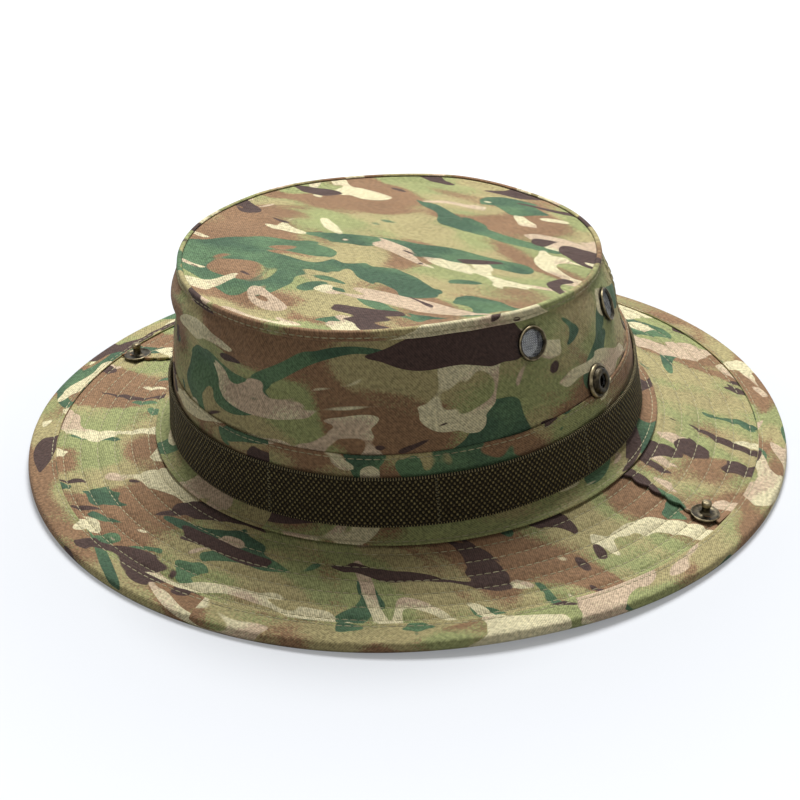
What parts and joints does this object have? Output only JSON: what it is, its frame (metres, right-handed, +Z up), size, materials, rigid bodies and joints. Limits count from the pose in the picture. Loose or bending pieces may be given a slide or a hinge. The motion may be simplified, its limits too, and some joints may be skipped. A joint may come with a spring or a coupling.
{
  "type": "boonie hat",
  "caption": "Soft wide-brimmed field hat with a flat-tipped crown, screened side vents, foliage webbing and brim sides that fold up and snap to the crown.",
  "frame": {"origin": "middle of the ring that the brim rests on, at table height under the crown", "axes": "+Z up through the crown, -Y toward the front of the hat, +X toward its left-hand wearer side (right in a front view)"},
  "size_m": [0.2998, 0.3056, 0.0937],
  "materials": {
    "camouflage_cloth": null,
    "webbing": "coarse dark olive nylon webbing",
    "thread": "olive sewing thread",
    "sweatband_cloth": "folded olive cotton band",
    "interlining_felt": "plain stiffener cloth",
    "binding_tape": "narrow woven seam tape",
    "antique_brass": "dark antique brass, worn bright on the edges",
    "screen_wire": "dark woven wire screen",
    "spring_steel": "bright spring wire"
  },
  "bodies": {
    "hat": {"crown_top": "camouflage_cloth", "crown_side_front": "camouflage_cloth", "crown_side_back": "camouflage_cloth", "crown_seam_welt": "camouflage_cloth", "crown_seam_tape": "binding_tape", "side_seam_tapes": "binding_tape", "base_band": "camouflage_cloth", "foliage_webbing": "webbing", "webbing_bar_tacks": "thread", "sweatband": "sweatband_cloth", "vent_ferrule_right_front": "antique_brass", "vent_ferrule_right_rear": "antique_brass", "vent_ferrule_left_front": "antique_brass", "vent_ferrule_left_rear": "antique_brass", "vent_screen_right_front": "screen_wire", "vent_screen_right_rear": "screen_wire", "vent_screen_left_front": "screen_wire", "vent_screen_left_rear": "screen_wire", "vent_washer_right_front": "antique_brass", "vent_washer_right_rear": "antique_brass", "vent_washer_left_front": "antique_brass", "vent_washer_left_rear": "antique_brass", "snap_socket_right": "antique_brass", "snap_socket_left": "antique_brass", "snap_spring_right": "spring_steel", "snap_spring_left": "spring_steel", "socket_cap_right": "antique_brass", "socket_cap_left": "antique_brass", "brim_upper_front": "camouflage_cloth", "brim_upper_back": "camouflage_cloth", "brim_interlining_front": "interlining_felt", "brim_interlining_back": "interlining_felt", "brim_lower_front": "camouflage_cloth", "brim_lower_back": "camouflage_cloth", "brim_binding_front": "camouflage_cloth", "brim_binding_back": "camouflage_cloth"},
    "brim_side_right": {"brim_upper_right": "camouflage_cloth", "brim_interlining_right": "interlining_felt", "brim_lower_right": "camouflage_cloth", "brim_binding_right": "camouflage_cloth", "base_band_fold_right": "camouflage_cloth", "brim_side_seam_right": "camouflage_cloth", "snap_stud_right": "antique_brass", "stud_cap_right": "antique_brass"},
    "brim_side_left": {"brim_upper_left": "camouflage_cloth", "brim_interlining_left": "interlining_felt", "brim_lower_left": "camouflage_cloth", "brim_binding_left": "camouflage_cloth", "base_band_fold_left": "camouflage_cloth", "brim_side_seam_left": "camouflage_cloth", "snap_stud_left": "antique_brass", "stud_cap_left": "antique_brass"}
  },
  "joints": [
    {"name": "brim_fold_right", "type": "hinge", "parent": "hat", "child": "brim_side_right", "pos_m": [0.095, 0, 0.01514], "axis": [0, -1, 0], "range_deg": [0, 110.9], "stiffness_Nm_per_rad": 0.003},
    {"name": "brim_fold_left", "type": "hinge", "parent": "hat", "child": "brim_side_left", "pos_m": [-0.095, 0, 0.01514], "axis": [0, 1, 0], "range_deg": [0, 106], "stiffness_Nm_per_rad": 0.003}
  ]
}
